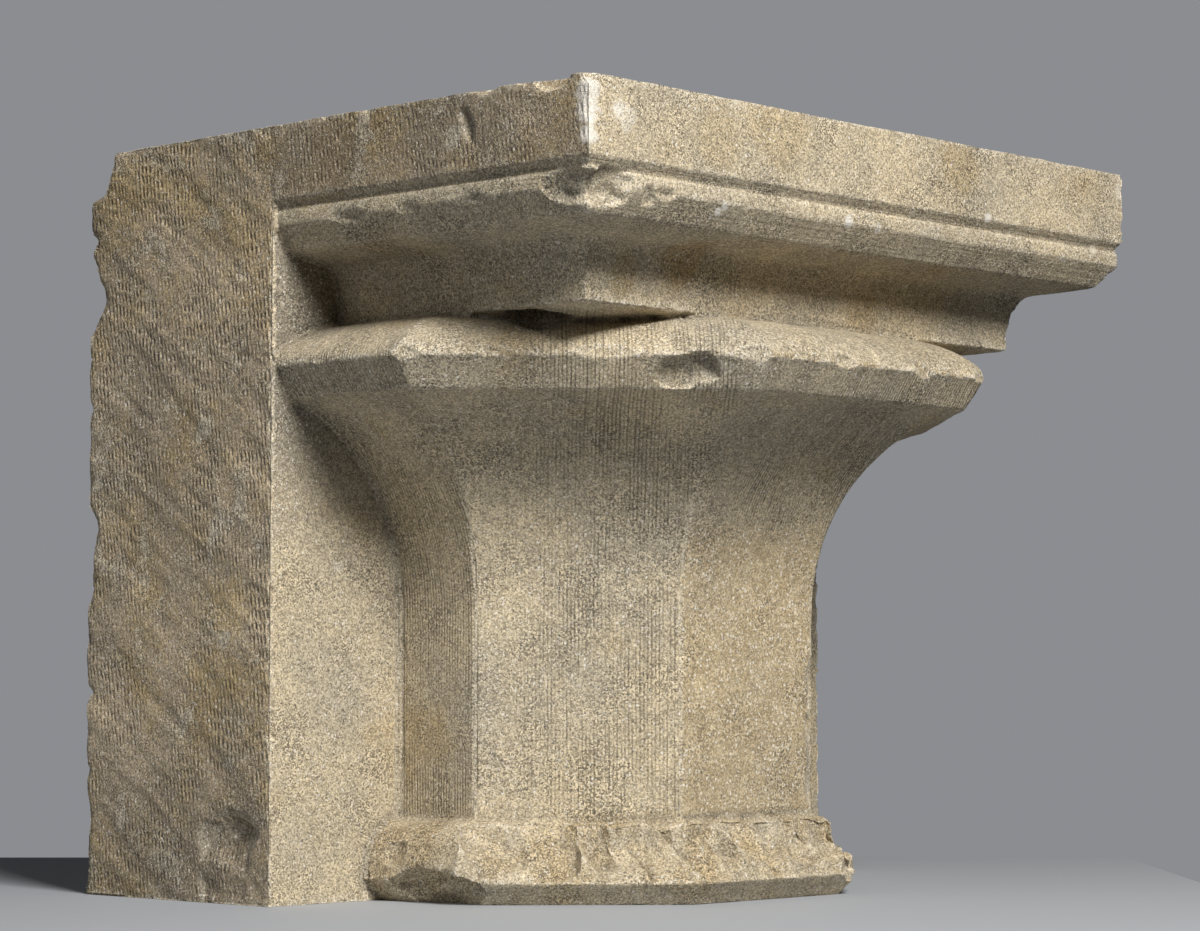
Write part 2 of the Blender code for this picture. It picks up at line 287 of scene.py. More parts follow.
def worn_stone(w, given):
    """The stone with its arrises worn and chipped, and with the marks that the rest reads."""
    place = w.get('GeometryNodeInputPosition', {})
    normal = w.get('GeometryNodeInputNormal', {})
    seeded = seeded_place(w, place, given["Seed"])
    light = blurred(w, place, LIGHT_CUT)
    deep = blurred(w, place, DEEP_CUT)
    bulge = w.measure('DOT_PRODUCT', w.vector('SUBTRACT', place, light), normal)
    hollow = w.measure('DOT_PRODUCT', w.vector('SUBTRACT', deep, place), normal)
    arris = w.ramp(bulge, 0.00004, 0.00022)
    crease = w.ramp(-bulge, 0.00005, 0.00025)

    worn = w.ramp(w.noise(seeded, WEAR_WAVES, 3.0), 0.40, 0.66, 0.15, 1.0) * given["Arris wear"]
    rounded = w.mix(arris * worn, place, light, 'VECTOR')
    chip = w.ramp(w.noise(seeded, CHIP_WAVES, 3.0, 0.65), 0.54, 0.62) * arris * given["Chip wear"]
    at_rear = w.ramp(w.split(place)[1], HIGH.y - REAR_CHIPS, HIGH.y - REAR_CHIPS + 0.010)
    chipped = w.mix(w.most(chip, arris * at_rear), rounded, deep, 'VECTOR')

    # Dressed faces stand at a multiple of an eighth of a turn, and broken ones don't
    face_x, face_y, face_z = w.split(blurred(w, normal, 2))
    skew = abs(w.math('SINE', w.math('ARCTAN2', face_y, face_x) * 4.0)) * (1.0 - abs(face_z))

    stone = w.get('GeometryNodeSetPosition', {"Geometry": given["Geometry"], "Position": chipped})
    marks = {
        "arris": arris,
        # Painted shade in hollows, made from how deep each point lies below its neighbours
        "hollow": w.ramp(hollow, 0.0001, 0.0009),
        "crease": crease,
        "broken": w.ramp(skew, 0.30, 0.75),
    }
    for name, value in marks.items():
        stone = stored(w, stone, name, value)
    return stone


def relief_tree():
    """Wears the arrises, then sinks the furrows, scars and unevenness into the faces."""
    tree = bpy.data.node_groups.new("weather the stone", 'GeometryNodeTree')
    for name, kind in RELIEF_INPUTS:
        tree.interface.new_socket(name=name, in_out='INPUT', socket_type=kind)
    tree.interface.new_socket(name="Geometry", in_out='OUTPUT', socket_type='NodeSocketGeometry')
    w = Wiring(tree)
    group = w.add('NodeGroupInput', {})
    given = {name: Field(w, w.pick(group.outputs, name)) for name, _ in RELIEF_INPUTS}
    worn = worn_stone(w, given)

    # What follows reads the worn surface
    place = w.get('GeometryNodeInputPosition', {})
    normal = w.get('GeometryNodeInputNormal', {})
    seeded = seeded_place(w, place, given["Seed"])
    x, y, z = w.split(place)
    out_x, out_y, out_z = w.split(normal)
    broken = w.get('GeometryNodeInputNamedAttribute', {"Name": "broken"}, data_type='FLOAT')

    # Gentle hollows and ripples everywhere
    swell = w.ramp(w.noise(seeded, SWELL_WAVES, 2.0), 0.3, 0.7)
    ripple = w.ramp(w.noise(seeded, RIPPLE_WAVES, 3.0, 0.6), 0.3, 0.7)
    sunk = (swell * 0.65 + ripple * 0.35) * given["Unevenness"]

    # Furrows in the sides, fainter on the right one and on the fascia's ends
    wall = w.ramp(y, WALL_Y - 0.001, WALL_Y + 0.001)
    fascia = w.ramp(z, FASCIA_Z, FASCIA_Z + 0.002)
    flank = w.ramp(abs(out_x), 0.55, 0.85)
    flank = flank * w.ramp(abs(x), HIGH.x - 0.016, HIGH.x - 0.010)
    flank = flank * w.most(wall, fascia * 0.25)
    flank = flank * w.ramp(x, -0.1, 0.1, 1.0, 0.6)
    across = y * math.sin(FURROW_SLOPE) - z * math.cos(FURROW_SLOPE)
    along = y * math.cos(FURROW_SLOPE) + z * math.sin(FURROW_SLOPE)
    beds = furrows(w, across + x, along, given["Furrow pitch"])
    sunk = sunk + beds * flank * given["Furrow depth"]

    # Wider furrows across the back
    back = w.ramp(out_y, 0.55, 0.85) * w.ramp(y, HIGH.y - 0.012, HIGH.y - 0.006)
    across = (x - z) * math.sin(EIGHTH)
    along = (x + z) * math.sin(EIGHTH)
    beds = furrows(w, across, along, given["Furrow pitch"] * BACK_SPREAD)
    sunk = sunk + beds * back * given["Furrow depth"]

    # Flake scars round the foot
    front = w.ramp(y, WALL_Y - 0.006, WALL_Y - 0.002, 1.0, 0.0)
    foot = w.ramp(z, FOOT_Z - 0.002, FOOT_Z + 0.004, 1.0, 0.0) * front
    foot = foot * w.ramp(z, FOOT_ARRIS_Z - 0.001, FOOT_ARRIS_Z + 0.002, 0.15, 1.0)
    lobe, crack, tint = flake_lobes(w, x, y, z, w.noise(seeded, LOBE_WARP_WAVES, 2.0, 0.5))
    sunk = sunk + lobe * foot * given["Flake step"]

    # Crags and facets in the foot and the breaks
    crag = w.ramp(w.noise(seeded, CRAG_WAVES, 3.0, 0.55), 0.34, 0.68)
    stray = w.get('ShaderNodeTexNoise', {
        "Vector": seeded, "Scale": FACET_STRAY_WAVES, "Detail": 2.0}, "Color")
    strayed = w.vector('ADD', seeded, w.vector('SCALE', stray, FACET_STRAY))
    facet, _ = w.cells(strayed, FACET_CELLS)
    rough = w.most(foot * 0.45, broken * 0.6)
    sunk = sunk + (crag * 0.55 + w.least(facet, 1.0) * 0.45) * rough * given["Break roughness"]

    # The bed that the stone stands on stays flat, and nothing passes the CAD box
    lifted = w.ramp(out_z, -0.9, -0.6) + w.ramp(z, 0.0015, 0.004)
    sunk = sunk * w.least(lifted, 1.0)
    moved = w.vector('SUBTRACT', place, w.vector('SCALE', normal, sunk))
    moved = w.vector('MAXIMUM', moved, given["Lowest corner"])
    moved = w.vector('MINIMUM', moved, given["Highest corner"])
    shaped = w.get('GeometryNodeSetPosition', {"Geometry": worn, "Position": moved})

    # Patches for the material, stored here because a mesh carries them at no cost in the render
    patches = {
        "cloud": w.noise(seeded, 14.0, 4.0, 0.62),
        "drift": w.noise(seeded, 34.0, 4.0, 0.65, 0.3),
        "stain": w.noise(seeded, 19.0, 3.0, 0.65),
        "tool_patch": w.noise(w.vector('MULTIPLY', seeded, (1.0, 1.0, 0.7)), 26.0, 2.0),
        "row_sway": w.noise(seeded, 42.0, 2.0),
        "crack": crack * foot,
        "tint": tint * foot,
    }
    for name, value in patches.items():
        shaped = stored(w, shaped, name, value)
    real = w.get('GeometryNodeRealizeInstances', {"Geometry": shaped})
    finished = w.get('GeometryNodeSetMaterial', {"Geometry": real, "Material": given["Limestone"]})
    w.add('NodeGroupOutput', {"Geometry": finished})
    return tree


# Limestone

STORED_MARKS = ["arris", "hollow", "crease", "broken", "cloud", "drift", "stain", "tool_patch",
                "row_sway", "crack", "tint"]

# Cells and waves per metre
GRAIN_CELLS = 1350.0
FLECK_CELLS = 430.0
DUST_WAVES = 1700.0
MOTTLE_WAVES = 190.0
SWAY_WAVES = 95.0

# Heights between which a painted shadow grows on the wall face's top, and between which darkness
# fades from the sides' foot
WALL_SHADOW_LOW_Z, WALL_SHADOW_TOP_Z = 0.16, 0.25
SIDE_DARK_LOW_Z, SIDE_DARK_TOP_Z = 0.02, 0.09

# The claw chisel's strokes on the sides
CLAW_FALL = math.radians(4)  # a row of strokes falls this much towards the front
CLAW_LENGTH = 0.0066
CLAW_LEAN = 0.12  # how far a stroke leans back over its height
CLAW_SWAY = 0.55  # how far the strokes stray sideways, in pitches
ROW_SWAY = 2.0  # how far the rows stray up and down, in strokes

# The drag lines of bell and neck
STREAKS_ACROSS, STREAKS_UP = 800.0, 26.0  # waves per metre of the gaps in the lines
DRAG_FAINT, DRAG_FULL = -0.045, -0.005  # they grow from here to here, right of a face's middle

# Level scratches on the slab's mouldings, in waves per metre
SCRATCHES_ALONG, SCRATCHES_UP = 14.0, 1000.0

# Depths of the relief that is too fine for the mesh
MOTTLE_DEPTH = 0.00022
PIT_DEPTH = 0.0004
SCRATCH_DEPTH = 0.00009
CRUMB_DEPTH = 0.0008

# Stains, pale patches, and white chips brightened into painted highlights: place, radius and
# strength
OCHRE_SPOTS = [
    ((-0.220, -0.008, 0.377), 0.026, 0.95),
    ((-0.220, 0.016, 0.366), 0.016, 0.60),
    ((-0.220, -0.059, 0.373), 0.014, 0.70),
    ((-0.106, -0.150, 0.323), 0.020, 0.85),
    ((-0.147, -0.146, 0.313), 0.014, 0.60),
    ((0.042, -0.146, 0.306), 0.018, 0.50),
    ((0.068, -0.187, 0.388), 0.024, 0.60),
    ((-0.081, -0.187, 0.390), 0.028, 0.40),
    ((-0.127, -0.187, 0.378), 0.020, 0.35),
]
PALE_SPOTS = [
    ((-0.195, -0.187, 0.382), 0.010, 0.90),
    ((-0.220, -0.096, 0.378), 0.008, 0.70),
    ((0.220, -0.187, 0.390), 0.008, 0.85),
    ((0.194, -0.183, 0.355), 0.005, 0.70),
    ((-0.0463, -0.1034, 0.2125), 0.006, 0.75),
    ((-0.220, 0.0705, 0.1355), 0.006, 0.60),
    ((-0.1721, 0.0355, 0.1736), 0.004, 0.80),
]
WHITE_CHIPS_AND_HIGHLIGHTS = [
    ((-0.219, -0.187, 0.391), 0.0090, 0.95),
    ((-0.219, -0.187, 0.381), 0.0085, 0.95),
    ((-0.219, -0.187, 0.371), 0.0065, 0.95),
    ((-0.1193, -0.184, 0.3467), 0.0030, 1.00),
    ((-0.1225, -0.183, 0.3434), 0.0030, 1.00),
    ((-0.1255, -0.182, 0.3405), 0.0028, 1.00),
    ((-0.0238, -0.184, 0.3486), 0.0045, 1.00),
    ((0.0005, -0.183, 0.3480), 0.0035, 0.70),
    ((0.0922, -0.187, 0.3622), 0.0035, 0.90),
    ((0.1646, -0.183, 0.3483), 0.0035, 0.70),
    ((-0.200, -0.187, 0.384), 0.0045, 0.60),
]


def claw_strokes(w, on, skin, pitch):
    """Claw chisel strokes on the sides: short upright lines with uneven ends."""
    turns = (on.y - on.z * CLAW_LEAN) / pitch + skin.sway * CLAW_SWAY
    column = w.math('FLOOR', turns)
    rows = (on.y * math.sin(CLAW_FALL) - on.z * math.cos(CLAW_FALL)) / CLAW_LENGTH
    rows = rows + w.random(column) + skin.row_sway * ROW_SWAY
    number = w.combine(w.math('FLOOR', rows), column, 0.0)
    stroke = w.get('ShaderNodeTexWhiteNoise', {"Vector": number})
    wave = w.math('SINE', turns * (2 * math.pi)) * 0.5 + 0.5
    ends = w.ramp(abs(w.math('FRACT', rows) - 0.5), 0.12, 0.45, 1.0, 0.0)
    patch = w.ramp(skin.tool_patch, 0.40, 0.58, 0.15, 1.0)
    return wave * ends * w.ramp(stroke, 0.1, 0.8, 0.15, 1.0) * patch


def drag_lines(w, on, skin, pitch):
    """Upright lines on the octagon's faces, strongest on the right of each face."""
    turn = w.math('ROUND', w.math('ARCTAN2', on.y - AXIS_Y, on.x) / EIGHTH) * EIGHTH
    along = (on.y - AXIS_Y) * w.math('COSINE', turn) - on.x * w.math('SINE', turn)
    comb = w.math('SINE', (along / pitch + skin.row_sway * 0.5) * (2 * math.pi)) * 0.5 + 0.5
    streak = w.noise(w.combine(along * STREAKS_ACROSS, turn * 3.0, on.z * STREAKS_UP), 1.0, 0.0)
    comb = w.math('POWER', comb, 2.0) * w.ramp(streak, 0.30, 0.62, 0.2, 1.0)
    right = w.ramp(along, DRAG_FAINT, DRAG_FULL, 0.15, 1.0)
    return comb * right * w.ramp(skin.tool_patch, 0.38, 0.56, 0.25, 1.0)


def near_spots(w, place, spots, wobble):
    """The strongest of some soft round spots, with uneven rims."""
    field = None
    for spot, size, strength in spots:
        away = w.measure('DISTANCE', place, spot)
        one = w.ramp(away + wobble * size, size * 0.5, size, strength, 0.0)
        field = one if field is None else w.most(field, one)
    return field


def stone_regions(w):
    """Where a point lies on the stone: its place, and its share in each region from 0 to 1."""
    place = w.get('ShaderNodeTexCoord', {}, "Object")
    x, y, z = w.split(place)
    face_x, face_y, face_z = w.split(w.get('ShaderNodeNewGeometry', {}, "Normal"))
    wall = w.ramp(y, WALL_Y - 0.0015, WALL_Y - 0.0005)
    proud = 1.0 - wall
    fascia = w.ramp(z, FASCIA_Z - 0.001, FASCIA_Z + 0.001)
    flank = w.ramp(abs(face_x), 0.60, 0.80)
    flank = flank * w.ramp(abs(x), HIGH.x - 0.020, HIGH.x - 0.014)
    flank = flank * w.most(wall, fascia)
    octagon = proud * w.ramp(z, SLAB_Z - 0.002, SLAB_Z, 1.0, 0.0)
    foot = w.ramp(z, FOOT_Z, FOOT_Z + 0.004, 1.0, 0.0) * proud
    slab = proud * w.ramp(z, SLAB_Z, SLAB_Z + 0.002)
    flat_wall = w.ramp(abs(y - WALL_Y), 0.001, 0.002, 1.0, 0.0)
    flat_wall = flat_wall * w.ramp(face_y, -0.95, -0.85, 1.0, 0.0)
    band_top = w.ramp(z, BAND_TOP_Z - 0.001, BAND_TOP_Z, 1.0, 0.0)
    return SimpleNamespace(
        place=place, x=x, y=y, z=z,
        wall=wall, proud=proud, fascia=fascia, flank=flank, octagon=octagon, foot=foot, slab=slab,
        foot_band=foot * w.ramp(z, FOOT_ARRIS_Z - 0.002, FOOT_ARRIS_Z + 0.001, 1.0, 0.0),
        ring_band=w.ramp(z, BAND_LOW_Z, BAND_LOW_Z + 0.001) * band_top * octagon,
        front_neck=octagon * (1.0 - foot) * w.ramp(face_y, -0.97, -0.90, 1.0, 0.0),
        # A painted shadow on the wall face's top, where the slab and ring shade it
        painted_wall_shadow=w.ramp(z, WALL_SHADOW_LOW_Z, WALL_SHADOW_TOP_Z) * flat_wall,
        # Painted shade on the slab's faces that look down
        shade_under_slab=w.ramp(face_z, -0.55, -0.15, 0.16, 0.0) * slab,
    )


def stone_patterns(w, on):
    """The marks that the mesh carries, and the grain, flecks, pits and mottling."""
    marks = {name: w.get('ShaderNodeAttribute', {}, "Fac", attribute_name=name)
             for name in STORED_MARKS}
    skin = SimpleNamespace(**marks)
    skin.mottle = w.noise(on.place, MOTTLE_WAVES, 2.0, 0.65)
    skin.rim = skin.mottle * 1.4 - 0.7
    skin.sway = w.noise(on.place, SWAY_WAVES, 0.0)
    skin.dust = w.noise(on.place, DUST_WAVES, 0.0)
    skin.dressed = (1.0 - on.foot) * (1.0 - skin.broken * 0.8)
    skin.open_grain = w.ramp(skin.drift + skin.mottle * 0.30, 0.56, 0.80, 0.35, 1.0)

    # Each small cell is one grain of the stone, and each large one may hold a fleck or a pit
    skin.grain_edge, grain_colour = w.cells(on.place, GRAIN_CELLS)
    skin.grain, fleck_pick, pit_pick = w.split(grain_colour)
    grain_core = w.ramp(skin.grain_edge, 0.45, 0.65, 1.0, 0.0)
    cell_edge, cell_colour = w.cells(on.place, FLECK_CELLS)
    cell_core = w.ramp(cell_edge, 0.22, 0.40, 1.0, 0.0)
    white_pick, dark_pick, _ = w.split(cell_colour)
    skin.flecks = w.most(
        w.ramp(fleck_pick, 0.925, 0.950, 0.0, 0.80) * grain_core,
        w.ramp(white_pick + on.front_neck * 0.19, 0.90, 0.97, 0.0, 0.80) * cell_core)
    pit_pick = pit_pick + skin.open_grain * 0.07 - on.front_neck * 0.05
    dark_pick = dark_pick + skin.open_grain * 0.07 - on.front_neck * 0.05
    skin.small_pits = w.ramp(pit_pick, 0.935, 0.960) * grain_core
    skin.large_pits = w.ramp(dark_pick, 0.93, 0.99, 0.0, 0.8) * cell_core
    return skin


def stone_colour(w, on, skin, finish):
    """The stone's colour, from its clean tones to its stains, grime, painted shade and shadow,
    grains, flecks and marks with painted highlights.
    """
    warmth = w.ramp(skin.cloud + skin.mottle * 0.3, 0.42, 0.86)
    colour = w.mix(warmth, tuple(finish.grey_stone), tuple(finish.warm_stone))

    # Ochre on the neck's front, in clouds, on the foot and in single stains
    ochre = on.front_neck * w.ramp(skin.mottle, 0.35, 0.65, 0.62, 0.30)
    ochre = w.most(ochre, w.ramp(skin.stain, 0.55, 0.72) * 0.50)
    on_foot = w.ramp(skin.drift + skin.tint * 0.12, 0.45, 0.66, 0.12, 0.72)
    ochre = w.most(ochre, on.foot * on_foot)
    ochre = w.most(ochre, near_spots(w, on.place, OCHRE_SPOTS, skin.drift - 0.5))
    colour = w.mix(ochre, colour, tuple(finish.ochre))

    # Grime in open grain, painted shade in hollows and under the slab, a painted shadow on the
    # wall face's top, and the two bands darker
    grime_and_shade = skin.open_grain * 0.22 + skin.hollow * 0.30
    grime_and_shade = w.most(grime_and_shade, on.foot_band * 0.25)
    grime_and_shade = w.most(grime_and_shade, on.painted_wall_shadow * 0.85) + on.ring_band * 0.18
    colour = w.mix(w.least(grime_and_shade + on.shade_under_slab, 1.0), colour, tuple(finish.grime_and_shade))

    # The browner sides
    rust = w.ramp(skin.stain + skin.mottle * 0.3, 0.58, 0.82)
    side = w.mix(rust, tuple(finish.side_brown), tuple(finish.ochre))
    side = w.vector('SCALE', side, w.ramp(skin.cloud, 0.30, 0.70, 0.80, 1.30))
    side = w.vector('SCALE', side, w.ramp(on.z, FASCIA_Z - 0.050, FASCIA_Z + 0.010, 1.0, 0.80))
    colour = w.mix(on.flank * 0.72, colour, side)

    # Pale arrises, breaks, scars, smears and single patches
    pale = w.most(skin.arris * w.ramp(skin.mottle, 0.40, 0.58) * 0.75, skin.broken * 0.35)
    pale = w.most(pale, on.foot * (1.0 - skin.tint) * 0.08)
    smear = w.ramp(skin.drift + skin.mottle * 0.35, 0.72, 0.84)
    pale = w.most(pale, smear * on.flank * 0.55)
    pale = w.most(pale, near_spots(w, on.place, PALE_SPOTS, skin.rim))
    colour = w.mix(pale, colour, tuple(finish.fresh_stone))

    # Light and dark grains, and the darker foot and fascia of the sides
    tone = w.ramp(skin.grain, 0.0, 1.0, finish.grain_dark, finish.grain_light)
    tone = 1.0 + (tone - 1.0) * w.most(skin.open_grain, 0.55) * (1.0 - pale * 0.5)
    tone = tone * w.ramp(skin.mottle, 0.3, 0.7, 0.94, 1.06)
    tone = tone * w.ramp(skin.dust, 0.25, 0.75, 0.80, 1.20)
    colour = w.vector('SCALE', colour, tone)
    # The sides darker towards their foot, and on the fascia
    darker_low = w.ramp(on.z, SIDE_DARK_LOW_Z, SIDE_DARK_TOP_Z, 0.30, 0.0)
    colour = w.vector('SCALE', colour, 1.0 - on.flank * w.most(on.fascia * on.proud * 0.16, darker_low))

    # White flecks, dark pits, and white chips on the slab's near arris and fillet brightened into
    # painted highlights
    colour = w.mix(skin.flecks, colour, tuple(finish.white_fleck_and_highlight))
    pits = w.most(skin.small_pits, skin.large_pits)
    colour = w.mix(pits * 0.75, colour, tuple(finish.dark_speck))
    # Chipped stone painted brighter than its own colour as a highlight where it catches the light
    marks = near_spots(w, on.place, WHITE_CHIPS_AND_HIGHLIGHTS, skin.rim)
    marks = marks * w.ramp(skin.grain, 0.0, 1.0, 0.75, 1.0)
    return w.mix(marks, colour, tuple(finish.white_fleck_and_highlight))


def fine_relief(w, on, skin, finish):
    """Relief too fine for the mesh, as a height in metres, and the painted shade of its beds, of
    creases and of the foot's steps.
    """
    drag = drag_lines(w, on, skin, finish.drag_pitch)
    drag = drag * on.octagon * skin.dressed * (1.0 - on.front_neck * 0.85)
    scratches = w.noise(w.combine(
        on.x * SCRATCHES_ALONG, on.y * SCRATCHES_ALONG, on.z * SCRATCHES_UP), 1.0, 0.0)
    scratches = w.ramp(scratches, 0.35, 0.7) * on.slab * (1.0 - on.fascia) * skin.dressed
    claw = claw_strokes(w, on, skin, finish.claw_pitch) * on.flank
    claw = claw * (1.0 - w.most(skin.broken, skin.arris) * 0.7) * w.most(on.wall, 0.45)
    sand = (w.ramp(skin.grain_edge, 0.0, 0.6, 1.0, 0.0) * 0.4 + skin.grain * 0.6) * skin.open_grain
    height = sand * finish.grain_depth + skin.mottle * MOTTLE_DEPTH - skin.small_pits * PIT_DEPTH
    height = height - drag * finish.drag_depth + scratches * SCRATCH_DEPTH
    height = height - claw * finish.claw_depth
    height = height + skin.mottle * (on.foot * 0.5 + skin.broken) * CRUMB_DEPTH
    shade = w.most(drag * 0.38, claw * 0.40)
    # Painted shade in creases and along the foot's steps
    shade = w.most(shade, skin.crease * 0.22)
    return height, w.most(shade, skin.crack * 0.50)


def limestone(finish):
    """Warm grey limestone: grain, mottling, ochre and grime, painted shade and highlights, tool
    lines and pale breaks.
    """
    material = bpy.data.materials.new("limestone")
    material.use_nodes = True
    w = Wiring(material.node_tree)
    on = stone_regions(w)
    skin = stone_patterns(w, on)
    colour = stone_colour(w, on, skin, finish)
    height, shade = fine_relief(w, on, skin, finish)
    shader = w.get('ShaderNodeBsdfPrincipled', {
        "Base Color": w.vector('SCALE', colour, 1.0 - shade),
        "Roughness": w.ramp(skin.mottle, 0.3, 0.7, 0.84, 0.96),
        "IOR": 1.45,
        "Specular IOR Level": 0.25,
        "Normal": w.get('ShaderNodeBump', {"Strength": 1.0, "Distance": 1.0, "Height": height}),
    })
    w.add('ShaderNodeOutputMaterial', {"Surface": shader})
    return material


class StoneRelief(bpy.types.PropertyGroup):
    """How the stone's surface is worn, tooled and broken."""
    cell: FloatProperty(
        name="Cell size", description="Size of the remeshed surface's cells",
        default=0.0012, min=0.0008, max=0.01, precision=4, unit='LENGTH', subtype='DISTANCE')
    triangles: IntProperty(
        name="Triangles", description="How many triangles the finished stone may have",
        default=190000, min=20000, max=199000)
    arris_wear: FloatProperty(
        name="Arris wear", description="How far the sharp edges are rounded",
        default=0.65, min=0.0, max=1.0, subtype='FACTOR')
    chip_wear: FloatProperty(
        name="Chips", description="How far small chips cut into the edges",
        default=0.8, min=0.0, max=1.0, subtype='FACTOR')
    unevenness: FloatProperty(
        name="Unevenness", description="Depth of the gentle hollows in the dressed faces",
        default=0.0006, min=0.0, max=0.003, precision=4, unit='LENGTH', subtype='DISTANCE')
    furrow_depth: FloatProperty(
        name="Furrow depth", description="Depth of the furrows on the block's sides",
        default=0.0008, min=0.0, max=0.004, precision=4, unit='LENGTH', subtype='DISTANCE')
    furrow_pitch: FloatProperty(
        name="Furrow pitch", description="Distance from furrow to furrow",
        default=0.0125, min=0.004, max=0.04, precision=4, unit='LENGTH', subtype='DISTANCE')
    break_roughness: FloatProperty(
        name="Break roughness", description="Depth of the crags in broken faces",
        default=0.0028, min=0.0, max=0.008, precision=4, unit='LENGTH', subtype='DISTANCE')
    flake_step: FloatProperty(
        name="Flake step", description="Height of the steps between the foot's flake scars",
        default=0.0050, min=0.0, max=0.01, precision=4, unit='LENGTH', subtype='DISTANCE')
    seed: IntProperty(
        name="Seed", description="Another number moves every furrow and chip", default=3, min=0)


class StoneFinish(bpy.types.PropertyGroup):
    """Colours and tool lines of the limestone."""
    warm_stone: FloatVectorProperty(
        name="Warm stone", description="Lighter tone of the clean stone",
        default=(0.60, 0.50, 0.335, 1.0), size=4, min=0.0, max=1.0, subtype='COLOR')
    grey_stone: FloatVectorProperty(
        name="Grey stone", description="Darker tone of the clean stone",
        default=(0.44, 0.385, 0.285, 1.0), size=4, min=0.0, max=1.0, subtype='COLOR')
    ochre: FloatVectorProperty(
        name="Ochre", description="Iron stains",
        default=(0.43, 0.320, 0.165, 1.0), size=4, min=0.0, max=1.0, subtype='COLOR')
    # Also the colour of the painted shade in hollows and under the slab, and of the painted shadow
    # on the wall face's top
    grime_and_shade: FloatVectorProperty(
        name="Grime", description="Grey dirt in hollows and patches",
        default=(0.250, 0.222, 0.175, 1.0), size=4, min=0.0, max=1.0, subtype='COLOR')
    side_brown: FloatVectorProperty(
        name="Side brown", description="Tone of the rough sides",
        default=(0.425, 0.342, 0.240, 1.0), size=4, min=0.0, max=1.0, subtype='COLOR')
    fresh_stone: FloatVectorProperty(
        name="Fresh stone", description="Pale stone of breaks and worn edges",
        default=(0.66, 0.60, 0.48, 1.0), size=4, min=0.0, max=1.0, subtype='COLOR')
    dark_speck: FloatVectorProperty(
        name="Dark specks", description="Colour of the dark grains",
        default=(0.11, 0.10, 0.085, 1.0), size=4, min=0.0, max=1.0, subtype='COLOR')
    # Also the colour of the painted highlights on the slab's near arris and fillet
    white_fleck_and_highlight: FloatVectorProperty(
        name="White flecks", description="Colour of the white crystals",
        default=(0.84, 0.80, 0.72, 1.0), size=4, min=0.0, max=1.0, subtype='COLOR')
    grain_dark: FloatProperty(
        name="Darkest grain",
        description="Brightness of the darkest grains, times the stone's own",
        default=0.40, min=0.0, max=1.0, subtype='FACTOR')
    grain_light: FloatProperty(
        name="Lightest grain",
        description="Brightness of the lightest grains, times the stone's own",
        default=1.64, min=1.0, max=3.0, subtype='FACTOR')
    grain_depth: FloatProperty(
        name="Grain depth", description="Depth of the sandy grain",
        default=0.0005, min=0.0, max=0.003, precision=5, unit='LENGTH', subtype='DISTANCE')
    drag_pitch: FloatProperty(
        name="Drag pitch", description="Distance between the upright drag lines of bell and neck",
        default=0.0020, min=0.0008, max=0.01, precision=4, unit='LENGTH', subtype='DISTANCE')
    drag_depth: FloatProperty(
        name="Drag depth", description="Depth of the drag lines",
        default=0.00040, min=0.0, max=0.002, precision=5, unit='LENGTH', subtype='DISTANCE')
    claw_pitch: FloatProperty(
        name="Claw pitch", description="Distance between the claw chisel's strokes on the sides",
        default=0.0030, min=0.001, max=0.01, precision=4, unit='LENGTH', subtype='DISTANCE')
    claw_depth: FloatProperty(
        name="Claw depth", description="Depth of the claw chisel's strokes",
        default=0.0011, min=0.0, max=0.003, precision=5, unit='LENGTH', subtype='DISTANCE')


class StudioSettings(bpy.types.PropertyGroup):
    """Floor, backdrop and lights."""
    floor_colour: FloatVectorProperty(
        name="Floor", description="Colour of the board that the stone stands on",
        default=(0.42, 0.445, 0.48, 1.0), size=4, min=0.0, max=1.0, subtype='COLOR')
    backdrop_colour: FloatVectorProperty(
        name="Backdrop", description="Colour behind the stone",
        default=(0.262, 0.266, 0.284, 1.0), size=4, min=0.0, max=1.0, subtype='COLOR')
    key_power: FloatProperty(
        name="Key light", description="Power of the main light",
        default=90.0, min=0.0, unit='POWER')
    fill_power: FloatProperty(
        name="Fill light", description="Power of the soft light from the left",
        default=6.0, min=0.0, unit='POWER')
    ambient: FloatProperty(
        name="Ambient light",
        description="Share of the backdrop's brightness that lights the stone",
        default=0.13, min=0.0, max=2.0, subtype='FACTOR')
    focal_length: FloatProperty(
        name="Focal length", description="Of the camera, on a 36 mm wide sensor",
        default=99.21, min=10.0, unit='CAMERA', subtype='DISTANCE_CAMERA')


SHARP_ANGLE = math.radians(28)  # edges that bend more than this are shaded as sharp
MERGE_GAP = 0.000001


def bake(obj):
    """Turn what the object's modifiers make into its own plain mesh."""
    graph = bpy.context.evaluated_depsgraph_get()
    mesh = bpy.data.meshes.new_from_object(obj.evaluated_get(graph))
    obj.modifiers.clear()
    obj.data = mesh


def placed(name, data):
    """A new object of that mesh, light or camera, in the scene."""
    obj = bpy.data.objects.new(name, data)
    bpy.context.scene.collection.objects.link(obj)
    return obj


def joined_copy(node):
    """The CAD node's shape with its loose triangles merged into one closed mesh."""
    bm = bmesh.new()
    bm.from_mesh(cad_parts[node].data)
    bmesh.ops.remove_doubles(bm, verts=bm.verts, dist=MERGE_GAP)
    mesh = bpy.data.meshes.new(node + "_joined")
    bm.to_mesh(mesh)
    bm.free()
    return mesh


def set_inputs(modifier, values):
    """Give a Geometry Nodes modifier its values by the sockets' identifiers."""
    for item in modifier.node_group.interface.items_tree:
        if item.in_out == 'INPUT' and item.name in values:
            modifier[item.identifier] = values[item.name]


